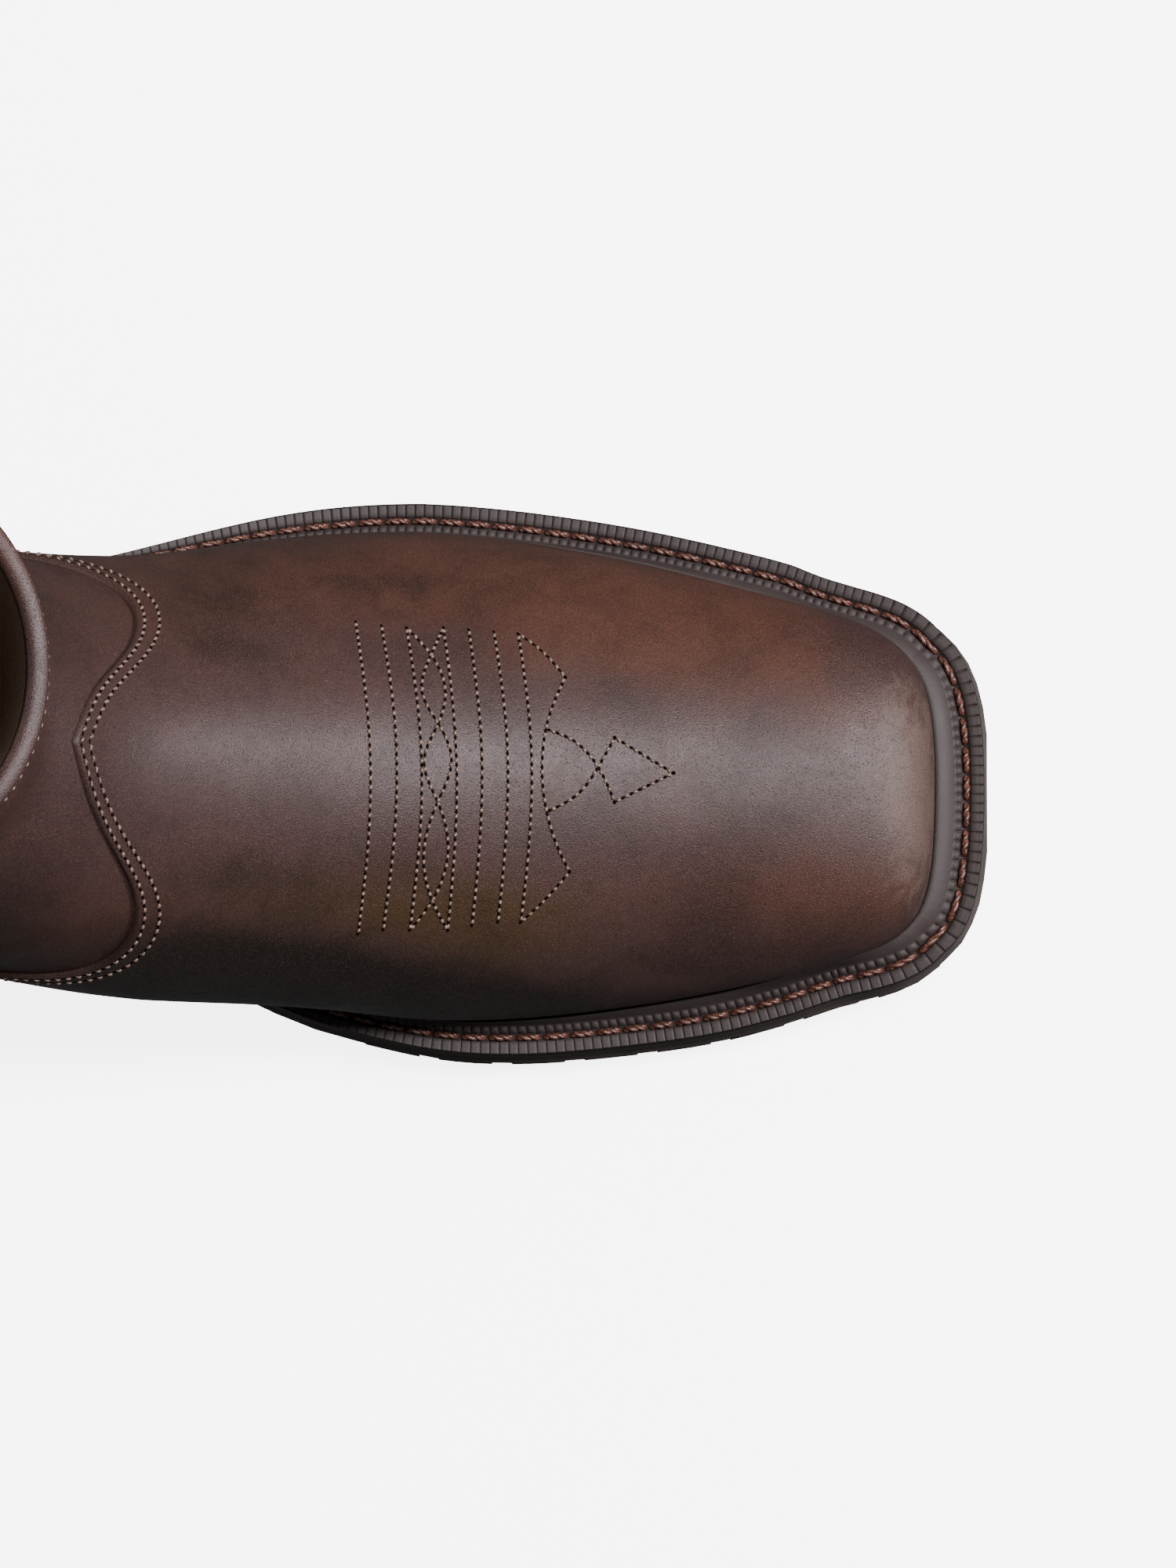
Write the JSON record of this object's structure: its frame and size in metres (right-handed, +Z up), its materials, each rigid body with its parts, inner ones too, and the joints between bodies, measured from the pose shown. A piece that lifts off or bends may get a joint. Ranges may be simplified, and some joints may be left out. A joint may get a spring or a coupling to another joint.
{
  "type": "western work boot",
  "caption": "Pull-on leather work boot for the left foot, with a wide square toe, storm welt, lugged rubber sole, stacked heel and scalloped shaft with pull straps.",
  "frame": {"origin": "middle of the heel's flat ground face, on the floor", "axes": "+X towards the toe, +Y towards the outer side of the left foot, +Z up"},
  "size_m": [0.3163, 0.118, 0.3133],
  "materials": {
    "leather": "oiled and distressed",
    "strap": "oiled",
    "insole": "matt",
    "welt": "satin",
    "rubber": "matt",
    "stacked_heel": "waxed"
  },
  "bodies": {
    "root": {"upper": "leather", "counter": "leather", "piping_outer": "leather", "piping_inner": "leather", "pull_strap_outer": "strap", "pull_strap_inner": "strap", "insole": "insole", "welt": "welt", "outsole": "rubber", "heel_stack": "stacked_heel", "heel_lift": "rubber"}
  },
  "joints": []
}
